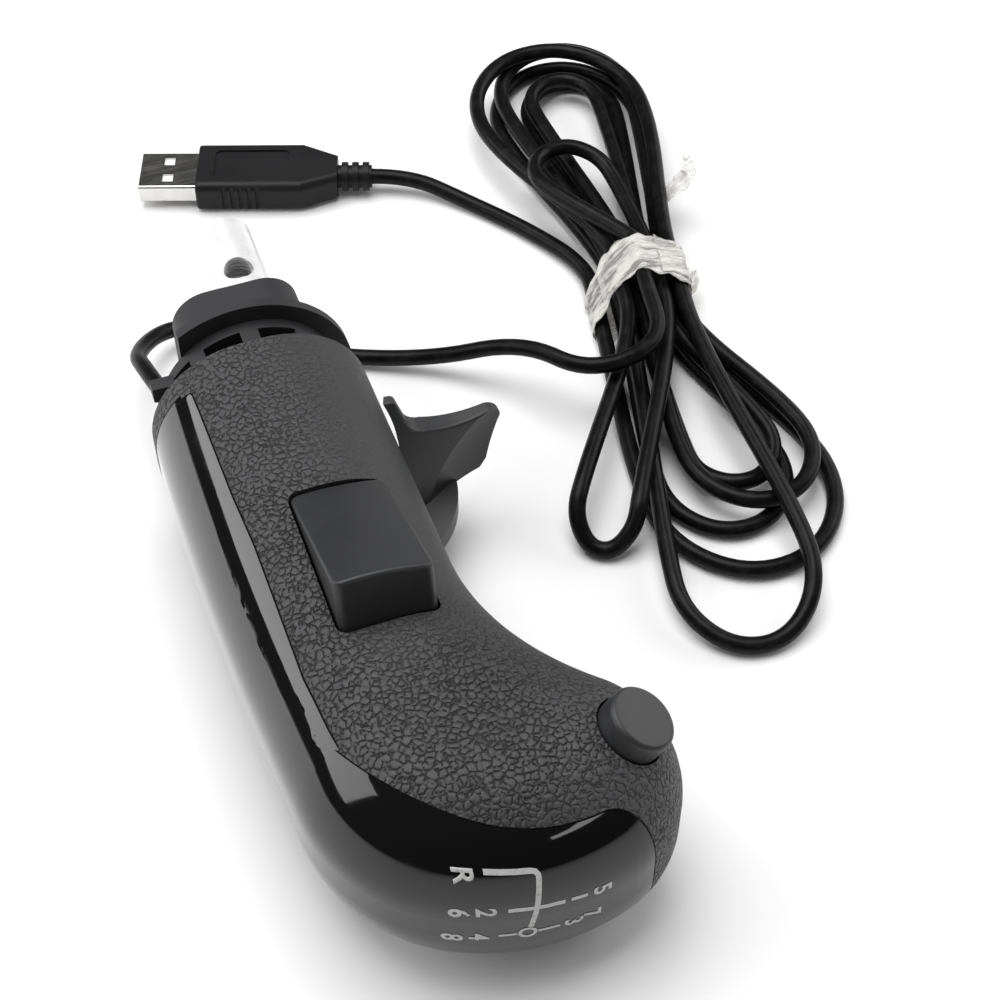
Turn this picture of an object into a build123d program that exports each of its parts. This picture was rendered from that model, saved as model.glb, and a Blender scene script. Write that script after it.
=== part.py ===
# Gear-knob game controller on a USB lead, lying on its right side as it is put down.
# Millimetres, +Z up from the surface that it lies on. The handle runs along Y: the rod
# that plugs into a gear lever points to +Y, the head to -Y and the driver's front to +X.
# The origin is on the surface, below the middle of the controller without its lead.
import os
from math import cos, radians, sin, sqrt, tan

from build123d import *

os.makedirs("parts", exist_ok=True)

# Knob body
half_height = 22.3  # the surface is at z = 0, so this is also the height of the mid plane
edge_radius = 19.2  # round sides of the knob
wall = 2.4
rim_y = 32.6  # open lower end of the grip
mouth_y = rim_y + 12  # the outline is drawn past the rim and cut there
grip_x = -11.6  # axis of the straight handle
cover_end_y = 28.2
seam_gap = 0.25

# Thumb button on the nose
button_origin = Vector(13.6, -65.7, half_height + 2.4)  # near the middle of the nose
button_way = Vector(0.48, -0.14, 0.866).normalized()
button_radius = 6.0
button_gap = 0.4
button_top = 22.9  # distances from the button's origin
button_base = 12.8
button_travel = 1.5

# Splitter rocker on the left side, which faces up here
rocker_x = -7.3
rocker_y = -21.15
rocker_width = 17.2
rocker_length = 30.9
rocker_base_z = 36.0
rocker_pivot_z = 41.0
rocker_gap = 0.5
rocker_low_z = 44.3  # crest of the top at its far end
rocker_high_z = 54.5  # and at its near end
rocker_crown = 45.0  # radius across the top
rocker_crest = -4.2  # how far the crest lies off the rocker's middle

# Range lever on the front
lever_x = 1.5
lever_y = 15.5
disc_radius = 19.5
disc_z = 9.5
disc_thickness = 4.0
lever_swing = 20
blade_foot_z = 12.8
blade_top_z = 35.4
lever_pin_radius = 2.0
lever_pin_z = 6.6
running_gap = 0.05

# Collar, neck and adapter rod
flange_radius = 21.5
flange_x = -12.1
flange_y = 42.1
flange_thickness = 2.0
flange_cut_x = -24.1
hub_x = -10.1
hub_width = 25.5
hub_length = 14.0
rod_x = -6.2
rod_radius = 6.2
rod_bore_radius = 3.0
rod_end_y = 85.2
rod_start_y = 30.4
rod_pin_y = 36.6
set_screw_y = 69.0
set_screw_radius = 2.5
neck_radius = 17.8
neck_wall = 2.6
neck_end_y = 29.8
window_count = 10
window_y = 36.0
window_length = 7.6

# USB lead
cord = 3.5  # diameter
cord_exit = Vector(-27.2, 38.0, 18.0)
layer_z = [2.4, 6.4, 10.4, 14.4]  # heights of the strands that lie on each other in the tie
waist = Vector(79.5, 56.0, 0)  # middle of the cable tie
hank_turn = 78.8  # direction of the hank's axis, in degrees from +X
tie_half = 6.5
plug_tip = Vector(-14.7, 130.9, 3.9)
plug_way = Vector(0.942, -0.335, 0).normalized()  # from the plug's mouth to its lead

# How far each loop reaches from the tie, half its width and its lean to the left
top_loops = [
    (43.9, 8.6, 17.8),
    (80.4, 19.1, 9.0),
    (84.6, 15.2, 5.2),
    (73.4, 7.8, 6.0),
    (76.5, 10.4, 4.4),
    (82.3, 16.5, 5.7),
]
low_loops = [
    (69.5, 6.0, -18.5),
    (93.5, 13.4, 2.2),
    (63.1, 12.9, 13.3),
    (55.7, 8.5, 10.3),
    (65.6, 13.7, 5.0),
    (77.4, 20.2, 7.5),
]
# Distance of each loop's strands from the hank's axis in the tie, with the way out last
strand_places = [2.1, 6.2, 6.2, 2.1, 2.1, 6.2, 11.0]
strand_layers = [2, 2, 1, 1, 0, 0, 0]


def finish(piece, name):
    """Label one piece and write its file."""
    piece.label = name
    export_step(piece, f"parts/{name}.step")


def knob_form(inset):
    """The knob's whole form past the rim, shrunk by inset on every side."""
    with BuildPart() as form:
        with BuildSketch(Plane.XY.offset(inset)):
            with BuildLine():
                front = Line((9.4, mouth_y), (9.8, -17.4))
                throat = TangentArc(front @ 1, (18.8, -44.4), tangent=front % 1)
                brow = TangentArc(throat @ 1, (25.6, -52.0), tangent=throat % 1)
                nose_arc = TangentArc(brow @ 1, (17.6, -85.4), tangent=brow % 1)
                crown = TangentArc(nose_arc @ 1, (-12.6, -82.8), tangent=nose_arc % 1)
                heel = TangentArc(crown @ 1, (-30.9, -56.4), tangent=crown % 1)
                back = TangentArc(heel @ 1, (-32.6, mouth_y), tangent=heel % 1)
                Line(back @ 1, front @ 0)
            make_face()
            if inset:
                offset(amount=-inset, kind=Kind.INTERSECTION)
        extrude(amount=2 * (half_height - inset))
        ends = form.faces().filter_by(Axis.Z).edges()
        fillet(ends.sort_by(Axis.Y)[:-2], radius=edge_radius - inset)
    return form.part


def cover_region(gap):
    """Everything behind the seam line between the grip and the gloss cover, grown by gap."""
    with BuildPart() as region:
        with BuildSketch(Plane.XY.offset(-5)):
            with BuildLine():
                side = Line((-27.4 + gap, cover_end_y + gap), (-28.0 + gap, -10))
                hip = TangentArc(side @ 1, (-26.6 + gap, -42), tangent=side % 1)
                bend = TangentArc(hip @ 1, (-8.6, -74.6 + gap), tangent=hip % 1)
                brow = TangentArc(bend @ 1, (13.0, -80.2 + gap), tangent=bend % 1)
                exit_arc = TangentArc(brow @ 1, (22.6 + gap, -88.5), tangent=brow % 1)
                Polyline(
                    exit_arc @ 1,
                    (22.6 + gap, -100),
                    (-50, -100),
                    (-50, cover_end_y + gap),
                    side @ 0,
                )
            make_face()
        extrude(amount=60)
    return region.part


def post(x, y, low, high, radius):
    """An upright round post."""
    with BuildPart() as made:
        with BuildSketch(Plane.XY.offset(low)):
            with Locations((x, y)):
                Circle(radius)
        extrude(amount=high - low)
    return made.part


def block(low, high):
    """A box between two corners."""
    size = [b - a for a, b in zip(low, high)]
    with BuildPart() as made:
        with BuildSketch(Plane(origin=low)):
            Rectangle(size[0], size[1], align=(Align.MIN, Align.MIN))
        extrude(amount=size[2])
    return made.part


def button_plane(distance):
    """Plane square to the thumb button's travel, at a distance from its origin."""
    return Plane(origin=button_origin + button_way * distance, z_dir=button_way)


outer_form = knob_form(0)
inner_form = knob_form(wall)
rim_plane = Plane.XZ.offset(-rim_y)
mid_plane = Plane.XY.offset(half_height)
screw_places = [(-23.2, 20.0), (-23.2, -38.0), (-8.5, -66.0), (6.5, -50.0)]
board_low = (-19.2, -45.0, 12.2)
board_high = (1.8, -10.0, 13.8)
board_screw_places = [(-16.8, -13.0), (-1.2, -41.8)]

# Slot in the grip's front that the lever's disc moves through
with BuildPart() as slot:
    with BuildSketch(Plane.XY.offset(disc_z - 0.4)):
        with Locations((lever_x, lever_y)):
            Circle(disc_radius + 0.4)
        with Locations((lever_x + 11.5, lever_y - 6.1)):
            Rectangle(23, 30, mode=Mode.INTERSECT)
    extrude(amount=disc_thickness + 0.8)
lever_slot = slot.part

# Grip shells: a moulded left half, which faces up, and a right half below it.
with BuildPart() as grip_wall:
    add(outer_form)
    add(inner_form, mode=Mode.SUBTRACT)
    split(bisect_by=rim_plane, keep=Keep.TOP)
    add(cover_region(seam_gap), mode=Mode.SUBTRACT)

with BuildPart() as grip_shell_left:
    add(grip_wall.part)
    split(bisect_by=mid_plane, keep=Keep.TOP)
    for place in screw_places:
        add(post(*place, half_height, half_height + 21, 3.0))
        add(post(*place, half_height - 1, half_height + 12, 1.15), mode=Mode.SUBTRACT)
    add(outer_form, mode=Mode.INTERSECT)
    with BuildSketch(Plane.XY.offset(rocker_base_z)):
        with Locations((rocker_x, rocker_y)):
            RectangleRounded(rocker_width + 2 * rocker_gap, rocker_length + 2 * rocker_gap, 2.1)
    extrude(amount=15, mode=Mode.SUBTRACT)
    with BuildSketch(button_plane(10)):
        Circle(button_radius + button_gap)
    extrude(amount=20, mode=Mode.SUBTRACT)
    add(lever_slot, mode=Mode.SUBTRACT)
finish(grip_shell_left.part, "grip_shell_left")

with BuildPart() as grip_shell_right:
    add(grip_wall.part)
    split(bisect_by=mid_plane, keep=Keep.BOTTOM)
    for place in screw_places:
        add(post(*place, 1.0, half_height, 3.4))
    for place in board_screw_places:
        add(post(*place, 1.0, board_low[2], 2.6))
    add(post(lever_x, lever_y, 1.0, disc_z - 0.3, 4.2))
    add(block((-12.8, 9.4, 1.0), (-6.6, 21.6, 8.0)))
    add(outer_form, mode=Mode.INTERSECT)
    for place in screw_places:
        add(post(*place, -1, 10, 2.6), mode=Mode.SUBTRACT)
        add(post(*place, -1, half_height + 1, 1.5), mode=Mode.SUBTRACT)
    for place in board_screw_places:
        add(post(*place, 5, board_low[2] + 1, 1.0), mode=Mode.SUBTRACT)
    add(post(lever_x, lever_y, lever_pin_z, disc_z, lever_pin_radius), mode=Mode.SUBTRACT)
    add(lever_slot, mode=Mode.SUBTRACT)
finish(grip_shell_right.part, "grip_shell_right")

# Gloss cover: wraps the back and the head's top, with hooks behind the grip shells.
with BuildPart() as hooks:
    for hook_y in (4.0, -16.0):
        for hook_z in (half_height - 11.2, half_height + 8.8):
            add(block((-32.0, hook_y, hook_z), (-25.2, hook_y + 5.0, hook_z + 2.4)))
    add(inner_form, mode=Mode.INTERSECT)

with BuildPart() as gloss_cover:
    add(outer_form)
    add(inner_form, mode=Mode.SUBTRACT)
    add(cover_region(0), mode=Mode.INTERSECT)
    add(hooks.part)
finish(gloss_cover.part, "gloss_cover")

# Screws that hold the two grip shells together, driven from the right side.
with BuildPart() as shell_screws:
    for place in screw_places:
        with BuildSketch(Plane.XY.offset(7.6)):
            with Locations(place):
                Circle(2.4)
                RectangleRounded(2.6, 0.7, 0.2, mode=Mode.SUBTRACT)
        extrude(amount=1.0)
        with BuildSketch(Plane.XY.offset(8.6)):
            with Locations(place):
                Circle(2.4)
        extrude(amount=1.4)
        with BuildSketch(Plane.XY.offset(10.0)):
            with Locations(place):
                Circle(1.15)
        extrude(amount=22.0)
finish(shell_screws.part, "shell_screws")

# Splitter rocker: a wedge that pivots on a pin across its middle.
rocker_far_y = rocker_y + rocker_length / 2
rocker_near_y = rocker_y - rocker_length / 2
with BuildPart() as splitter_rocker:
    with BuildSketch(Plane.YZ.offset(rocker_x - rocker_width / 2)):
        with BuildLine():
            base = Line((rocker_near_y, rocker_base_z), (rocker_far_y - 1.6, rocker_base_z))
            heel_line = Line(base @ 1, (rocker_far_y, rocker_pivot_z - 1.0))
            far_face = Line(heel_line @ 1, (rocker_far_y, rocker_low_z + 2))
            top = Line(far_face @ 1, (rocker_near_y + 2.6, rocker_high_z + 2))
            near_face = Line(top @ 1, (rocker_near_y, 44.0))
            Line(near_face @ 1, base @ 0)
        make_face()
    extrude(amount=rocker_width)
    near_corners = splitter_rocker.edges().filter_by(lambda edge: edge.center().Y < rocker_near_y + 3)
    fillet(near_corners.filter_by(Axis.X, reverse=True), radius=1.6)
    far_corners = splitter_rocker.edges().filter_by(Axis.Z)
    fillet(far_corners, radius=1.6)
    crown_rise = Vector(0, rocker_near_y + 2.8 - rocker_far_y, rocker_high_z - rocker_low_z).normalized()
    crown_start = Vector(rocker_x + rocker_crest, rocker_far_y, rocker_low_z)
    crown_down = Vector(0, crown_rise.Z, -crown_rise.Y) * -rocker_crown
    with BuildSketch(Plane(origin=crown_start + crown_down, z_dir=crown_rise)):
        Circle(rocker_crown)
    extrude(amount=rocker_length * 2, both=True, mode=Mode.INTERSECT)
    brim = splitter_rocker.faces().sort_by(Axis.Z)[-1].edges()
    fillet(brim, radius=0.7)
    with BuildSketch(Plane.XY.offset(rocker_base_z)):
        with Locations((rocker_x, rocker_y)):
            Rectangle(rocker_width - 5.2, 20)
    extrude(amount=8.4, mode=Mode.SUBTRACT)
    with BuildSketch(Plane.YZ.offset(rocker_x - rocker_width / 2 + 1.2)):
        with Locations((rocker_y, rocker_pivot_z)):
            Circle(1.5)
    extrude(amount=rocker_width - 2.4, mode=Mode.SUBTRACT)
finish(splitter_rocker.part, "splitter_rocker")

with BuildPart() as rocker_pin:
    with BuildSketch(Plane.YZ.offset(rocker_x - rocker_width / 2 + 1.2)):
        with Locations((rocker_y, rocker_pivot_z)):
            Circle(1.5)
    extrude(amount=rocker_width - 2.4)
finish(rocker_pin.part, "rocker_pin")

# Cradle on the board that carries the rocker's pin and its two switches.
cradle_z = 24.0
with BuildPart() as rocker_cradle:
    add(block((rocker_x - 7, rocker_y - 13, cradle_z), (rocker_x + 7, rocker_y + 9.5, cradle_z + 2)))
    for leg_x in (rocker_x - 7, rocker_x + 4):
        for leg_y in (rocker_y - 13, rocker_y + 6.5):
            add(block((leg_x, leg_y, board_high[2]), (leg_x + 3, leg_y + 3, cradle_z)))
    with BuildSketch(Plane.YZ.offset(rocker_x - 2)):
        with BuildLine():
            left = Line((rocker_y - 4.5, cradle_z + 2), (rocker_y - 2.9, rocker_pivot_z))
            ear = ThreePointArc(left @ 1, (rocker_y, rocker_pivot_z + 2.9), (rocker_y + 2.9, rocker_pivot_z))
            right = Line(ear @ 1, (rocker_y + 4.5, cradle_z + 2))
            Line(right @ 1, left @ 0)
        make_face()
        with Locations((rocker_y, rocker_pivot_z)):
            Circle(1.5 + running_gap, mode=Mode.SUBTRACT)
    extrude(amount=4)
finish(rocker_cradle.part, "rocker_cradle")

with BuildPart() as rocker_switches:
    for switch_y in (rocker_y - 12.4, rocker_y + 5.0):
        low = (rocker_x - 6.2, switch_y, cradle_z + 2)
        add(block(low, (rocker_x + 6.2, switch_y + 4.4, cradle_z + 7)))
        low = (rocker_x - 1, switch_y + 1.4, cradle_z + 7)
        add(block(low, (rocker_x + 1, switch_y + 3.0, cradle_z + 7.8)))
finish(rocker_switches.part, "rocker_switches")

# Range lever: a disc that turns in the grip's slot and carries a twisted paddle. The
# paddle's root is cut back to clear the grip's side over the whole swing.
with BuildPart() as swept_grip:
    with BuildSketch(Plane.XZ.offset(20)):
        with Locations((grip_x, half_height)):
            RectangleRounded(43.2, 2 * half_height + 0.8, edge_radius + 0.4)
    extrude(amount=-70)
    grip_side = swept_grip.part
    for turn in (5, 10, 15, lever_swing):
        add(grip_side.rotate(Axis((lever_x, lever_y, 0), (0, 0, 1)), -turn))

with BuildPart() as paddle:
    with BuildSketch(Plane.XY.offset(blade_foot_z)):
        with BuildLine():
            Polyline((4, 5.1), (32, 15.5), (32, 17.6), (4, 17.4), close=True)
        make_face()
    with BuildSketch(Plane.XY.offset(blade_top_z)):
        with BuildLine():
            Polyline((4, 17.6), (32, 14.4), (32, 17.2), (4, 19.8), close=True)
        make_face()
    loft(ruled=True)
    with BuildSketch(Plane.XZ):
        with BuildLine():
            foot = Line((4, blade_foot_z), (26.4, blade_foot_z))
            heel_corner = Line(foot @ 1, (27.9, 14.4))
            tip = Line(heel_corner @ 1, (30.7, 24.6))
            tip_round = ThreePointArc(tip @ 1, (30.3, 27.4), (27.8, 28.3))
            over = ThreePointArc(tip_round @ 1, (21.4, 27.5), (15.4, 28.4))
            bay = ThreePointArc(over @ 1, (13.1, 29.3), (12.0, 31.2))
            shoulder = Line(bay @ 1, (10.9, blade_top_z - 1.0))
            shoulder_round = ThreePointArc(shoulder @ 1, (10.5, blade_top_z - 0.3), (9.7, blade_top_z))
            Polyline(shoulder_round @ 1, (4, blade_top_z), foot @ 0)
        make_face()
    extrude(amount=-40, mode=Mode.INTERSECT)
    fillet(paddle.edges().filter_by(lambda edge: edge.center().X > 9), radius=0.6)
    add(swept_grip.part, mode=Mode.SUBTRACT)
    scoop_middle = Vector(29.2, 14.6, 15.5)
    with Locations(scoop_middle + Vector(0.2, -0.975, 0.1) * 38.8):
        Sphere(40, mode=Mode.SUBTRACT)

with BuildPart() as range_lever:
    add(paddle.part)
    with BuildSketch(Plane.XY.offset(disc_z)):
        with Locations((lever_x, lever_y)):
            Circle(6.0)
        with BuildLine():
            rim_arc = CenterArc((lever_x, lever_y), disc_radius, -104, 108)
            Polyline(rim_arc @ 1, (lever_x, lever_y), rim_arc @ 0)
        make_face()
        with Locations((lever_x, lever_y)):
            Circle(lever_pin_radius + running_gap, mode=Mode.SUBTRACT)
    extrude(amount=disc_thickness)
finish(range_lever.part, "range_lever")

with BuildPart() as lever_pin:
    with BuildSketch(Plane.XY.offset(lever_pin_z)):
        with Locations((lever_x, lever_y)):
            Circle(lever_pin_radius)
    extrude(amount=17 - lever_pin_z)
finish(lever_pin.part, "lever_pin")

# Push-on washer that keeps the lever's disc on its pin.
with BuildPart() as lever_washer:
    with BuildSketch(Plane.XY.offset(disc_z + disc_thickness + 0.4)):
        with Locations((lever_x, lever_y)):
            Circle(4.0)
            Circle(lever_pin_radius, mode=Mode.SUBTRACT)
    extrude(amount=0.8)
finish(lever_washer.part, "lever_washer")

with BuildPart() as lever_switch:
    add(block((-12.4, 9.9, 8.0), (-7.2, 21.1, 13.6)))
    add(block((-7.2, 14.5, 10.6), (-5.4, 16.5, 12.4)))
finish(lever_switch.part, "lever_switch")

# Thumb button, its guide cup and the switch under it.
with BuildPart() as thumb_button:
    with BuildSketch(button_plane(button_base)):
        Circle(button_radius + 1.0)
    extrude(amount=1.4)
    with BuildSketch(button_plane(button_base + 1.4)):
        Circle(button_radius)
    extrude(amount=button_top - button_base - 1.4)
    crown_edge = thumb_button.edges().filter_by(GeomType.CIRCLE).sort_by(Axis(button_origin, button_way))[-1]
    fillet(crown_edge, radius=0.9)
    with BuildSketch(button_plane(button_base)):
        Circle(button_radius - 1.8)
        Circle(1.6, mode=Mode.SUBTRACT)
    extrude(amount=6.5, mode=Mode.SUBTRACT)
finish(thumb_button.part, "thumb_button")

with BuildPart() as button_guide:
    with BuildSketch(button_plane(6.6)):
        Circle(10.2)
    extrude(amount=13)
    with BuildSketch(button_plane(8.2)):
        Circle(button_radius + 1.4)
    extrude(amount=13, mode=Mode.SUBTRACT)
    add(inner_form, mode=Mode.INTERSECT)
finish(button_guide.part, "button_guide")

with BuildPart() as button_switch:
    with BuildSketch(button_plane(8.2)):
        Rectangle(6, 6)
    extrude(amount=2.2)
    with BuildSketch(button_plane(10.4)):
        Circle(1.7)
    extrude(amount=button_base - button_travel - 0.2 - 10.4)
finish(button_switch.part, "button_switch")

# Circuit board with its chip, plug socket and two screws.
with BuildPart() as main_board:
    add(block(board_low, board_high))
    for place in board_screw_places:
        add(post(*place, board_low[2] - 1, board_high[2] + 1, 1.3), mode=Mode.SUBTRACT)
finish(main_board.part, "main_board")

with BuildPart() as board_chips:
    add(block((-13.0, -29.0, board_high[2]), (-5.0, -21.0, board_high[2] + 1.2)))
    add(block((-17.5, -38.5, board_high[2]), (-14.5, -30.5, board_high[2] + 4.0)))
    add(block((-2.6, -22.0, board_high[2]), (0.4, -17.2, board_high[2] + 3.4)))
finish(board_chips.part, "board_chips")

with BuildPart() as board_screws:
    for place in board_screw_places:
        add(post(*place, 6.0, board_high[2], 1.0))
        add(post(*place, board_high[2], board_high[2] + 1.4, 2.0))
finish(board_screws.part, "board_screws")

# Neck: a cage with windows and a sleeve for the rod, held between the shells.
with BuildPart() as neck_cage:
    with BuildSketch(Plane.XZ.offset(-neck_end_y)):
        with Locations((grip_x, half_height)):
            Circle(neck_radius)
    extrude(amount=-(flange_y - neck_end_y))
    with BuildSketch(Plane.XZ.offset(-neck_end_y - 2.4)):
        with Locations((grip_x, half_height)):
            Circle(neck_radius - neck_wall)
        with Locations((rod_x, half_height)):
            Circle(rod_radius + 2.4, mode=Mode.SUBTRACT)
    extrude(amount=-30, mode=Mode.SUBTRACT)
    for window in range(window_count):
        turn = radians(360 / window_count * (window + 0.5) + 2)
        way = Vector(sin(turn), 0, cos(turn))
        start = Vector(grip_x, 0, half_height) + way * (neck_radius - neck_wall - 1)
        with BuildSketch(Plane(origin=start, x_dir=(0, 1, 0), z_dir=way)):
            with Locations((window_y, 0)):
                Rectangle(window_length, 7.6)
        extrude(amount=neck_wall + 3, mode=Mode.SUBTRACT)
    add(block((-31.0, 38.4, 28.6), (-25.4, 41.2, 32.0)))
    with BuildSketch(Plane.XZ.offset(-rod_start_y)):
        with Locations((rod_x, half_height)):
            Circle(rod_radius)
    extrude(amount=-30, mode=Mode.SUBTRACT)
    add(post(rod_x, rod_pin_y, half_height - 7.4, half_height + 7.4, 1.5), mode=Mode.SUBTRACT)
    add(block((-31, 26.0, 14.9), (-24.2, 44, 21.1)), mode=Mode.SUBTRACT)
finish(neck_cage.part, "neck_cage")

# Collar: flange with a flat for the lead, and a square hub with cut corners.
with BuildPart() as collar:
    with BuildSketch(Plane.XZ.offset(-flange_y)):
        with Locations((flange_x, half_height)):
            Circle(flange_radius)
        with Locations((flange_cut_x - 20, half_height)):
            Rectangle(40, 60, mode=Mode.SUBTRACT)
    extrude(amount=-flange_thickness)
    with BuildSketch(Plane.XZ.offset(-flange_y - flange_thickness)):
        with Locations((hub_x, half_height)):
            RectangleRounded(hub_width, hub_width + 0.8, 7.5)
    extrude(amount=-hub_length)
    hub_front = collar.faces().sort_by(Axis.Y)[-1]
    chamfer(hub_front.edges(), length=0.8)
    with BuildSketch(Plane.XZ.offset(-flange_y + 1)):
        with Locations((rod_x, half_height)):
            Circle(rod_radius)
    extrude(amount=-30, mode=Mode.SUBTRACT)
finish(collar.part, "collar")

# Adapter rod with a socket for the gear lever and a threaded hole for its set screw.
with BuildPart() as adapter_rod:
    with BuildSketch(Plane.XZ.offset(-rod_start_y)):
        with Locations((rod_x, half_height)):
            Circle(rod_radius)
    extrude(amount=-(rod_end_y - rod_start_y))
    chamfer(adapter_rod.edges().sort_by(Axis.Y)[-1], length=0.7)
    with BuildSketch(Plane.XZ.offset(-rod_end_y)):
        with Locations((rod_x, half_height)):
            Circle(rod_bore_radius)
    extrude(amount=26, mode=Mode.SUBTRACT)
    with BuildSketch(Plane.XY.offset(half_height)):
        with Locations((rod_x, set_screw_y)):
            Circle(set_screw_radius)
    extrude(amount=10, mode=Mode.SUBTRACT)
    with BuildSketch(Plane.XY.offset(half_height - 12)):
        with Locations((rod_x, rod_pin_y)):
            Circle(1.5)
    extrude(amount=24, mode=Mode.SUBTRACT)
finish(adapter_rod.part, "adapter_rod")

with BuildPart() as rod_pin:
    with BuildSketch(Plane.XY.offset(half_height - 7.4)):
        with Locations((rod_x, rod_pin_y)):
            Circle(1.5)
    extrude(amount=14.8)
finish(rod_pin.part, "rod_pin")

# Grommet that grips the lead where it leaves the neck.
with BuildPart() as cable_grommet:
    with BuildSketch(Plane.XZ.offset(-(cord_exit.Y - 10))):
        with Locations((cord_exit.X, cord_exit.Z)):
            Circle(2.6)
    extrude(amount=-10, taper=4)
finish(cable_grommet.part, "cable_grommet")


def hank_point(across, along, height):
    """A point given in the hank's own frame: across it, along its axis and up."""
    turn = radians(hank_turn)
    along_way = Vector(cos(turn), sin(turn), 0)
    across_way = Vector(sin(turn), -cos(turn), 0)
    return waist + across_way * across + along_way * along + Vector(0, 0, height)


def leaned(across, along, height, lean):
    """A point of a loop that leans to the left about the middle of the tie."""
    turn = radians(lean)
    return hank_point(
        across * cos(turn) - along * sin(turn),
        across * sin(turn) + along * cos(turn),
        height,
    )


def hank_way(degrees, slope=0.0):
    """A direction in degrees to the left of the hank's axis, with its slope."""
    turn = radians(hank_turn + degrees)
    return Vector(cos(turn), sin(turn), slope).normalized()


def hank_stops():
    """The points that the hank's cord passes, each with its direction."""
    top_z = layer_z[3]
    start = hank_point(-2.1, -tie_half, top_z)
    stops = [
        (start, lead_way),
        (start + lead_way * cord, lead_way),
        (hank_point(-2.1, tie_half, top_z), hank_way(0)),
    ]
    for k in range(6):
        z = layer_z[strand_layers[k]]
        next_z = layer_z[strand_layers[k + 1]]
        start_z = top_z if k == 0 else z
        reach, half, lean = top_loops[k]
        side = reach - 1.15 * half
        slope = (z - start_z) / (2.2 * half)
        stops += [
            (leaned(-half, side, start_z, lean), hank_way(lean)),
            (leaned(0, reach, (start_z + z) / 2, lean), hank_way(lean - 90, slope)),
            (leaned(half, side, z, lean), hank_way(lean + 180)),
            (hank_point(strand_places[k], 0, z), hank_way(180)),
        ]
        reach, half, lean = low_loops[k]
        side = reach - 1.15 * half
        slope = (next_z - z) / (2.2 * half)
        stops += [
            (leaned(half, -side, z, lean), hank_way(lean + 180)),
            (leaned(0, -reach, (z + next_z) / 2, lean), hank_way(lean + 90, slope)),
            (leaned(-half, -side, next_z, lean), hank_way(lean)),
            (hank_point(-strand_places[k + 1], 0, next_z), hank_way(0)),
        ]
    last, way = stops[-1]
    stops.append((last + way * cord, way))
    return stops


def biarc_joint(start, start_way, end, end_way):
    """Where two arcs between two given ends meet, and their common direction there."""
    span = end - start
    both = start_way + end_way
    bend = 1 - start_way.dot(end_way)
    lean = span.dot(both)
    if bend < 1e-9:
        reach = span.dot(span) / (2 * lean)
    else:
        reach = (sqrt(lean * lean + 2 * bend * span.dot(span)) - lean) / (2 * bend)
    near = start + start_way * reach
    far = end - end_way * reach
    return (near + far) * 0.5, (far - near).normalized()


def add_bend(start, way, end):
    """One arc of the hank, or a line where it runs straight."""
    if (end - start).normalized().cross(way).length < 1e-6:
        Line(start, end)
    else:
        TangentArc(start, end, tangent=way)


def bends(route):
    """Largest radii that fit a route's runs with some straight left in each."""
    radii = []
    for before, corner, after in zip(route, route[1:], route[2:]):
        arriving, leaving = corner - before, after - corner
        turn = radians(arriving.get_angle(leaving))
        shorter = min(arriving.length, leaving.length)
        radii.append(0.45 * shorter / tan(turn / 2))
    return radii


def swept_cord(route, name):
    """A free stretch of the lead: straight runs joined by arcs, with its radii printed."""
    radii = bends(route)
    print(name, "radii", [round(radius, 1) for radius in radii])
    with BuildPart() as stretch:
        with BuildLine() as path:
            FilletPolyline(*route, radius=radii)
        middle = path.wire()
        with BuildSketch(Plane(origin=middle @ 0, z_dir=middle % 0)):
            Circle(cord / 2)
        sweep(path=middle)
    section = 3.1416 * cord**2 / 4
    filled = stretch.part.volume / section
    print(name, "length", round(middle.length, 1), "volume over section", round(filled, 1))
    finish(stretch.part, name)


# The lead's first stretch, from the grip to the hank
lead_route = [
    cord_exit,
    Vector(-27.2, 47.5, 18.0),
    Vector(-29.4, 61.0, 15.0),
    Vector(-28.0, 74.0, 9.0),
    Vector(-15.0, 82.0, 2.6),
    Vector(6.0, 65.5, 1.8),
    Vector(29.0, 54.5, 3.0),
    hank_point(-30.5, -18.5, 13.2),
    hank_point(-18.4, -31.0, layer_z[3]),
    hank_point(-1.5, -24.5, layer_z[3]),
    hank_point(-2.1, -tie_half, layer_z[3]),
]
lead_way = (lead_route[-1] - lead_route[-2]).normalized()
swept_cord(lead_route, "cord_knob_lead")

# The hank: one unbroken tube of six long turns, bent out of arcs on three layers
stops = hank_stops()
with BuildPart() as cord_hank:
    with BuildLine() as hank_path:
        for (start, start_way), (end, end_way) in zip(stops, stops[1:]):
            joint, joint_way = biarc_joint(start, start_way, end, end_way)
            add_bend(start, start_way, joint)
            add_bend(joint, joint_way, end)
    hank_line = hank_path.wire()
    with BuildSketch(Plane(origin=hank_line @ 0, z_dir=hank_line % 0)):
        RegularPolygon(cord / 2, 8)
    sweep(path=hank_line)
finish(cord_hank.part, "cord_hank")

# Least gap of the hank to itself, along its middle line
hank_length = hank_line.length
step_count = int(hank_length / 1.5)
places = [hank_line @ (k / step_count) for k in range(step_count + 1)]
skipped = int(8 / 1.5) + 1
nearest = min(
    (places[i] - places[j]).length
    for i in range(len(places))
    for j in range(i + skipped, len(places))
)
print("cord_hank length", round(hank_length), "least gap to itself", round(nearest - cord, 2))
print("cord_hank volume over section", round(cord_hank.part.volume / (2.8284 * (cord / 2) ** 2)))

# The lead's last stretch, from the hank to the plug's strain relief
plug_back = plug_tip + plug_way * 52.8
plug_route = [
    stops[-1][0],
    stops[-1][0] + stops[-1][1] * 9,
    Vector(63.5, 86.0, 1.8),
    Vector(53.0, 100.5, 1.8),
    plug_back + plug_way * 9,
    plug_back,
]
swept_cord(plug_route, "cord_plug_lead")

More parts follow.
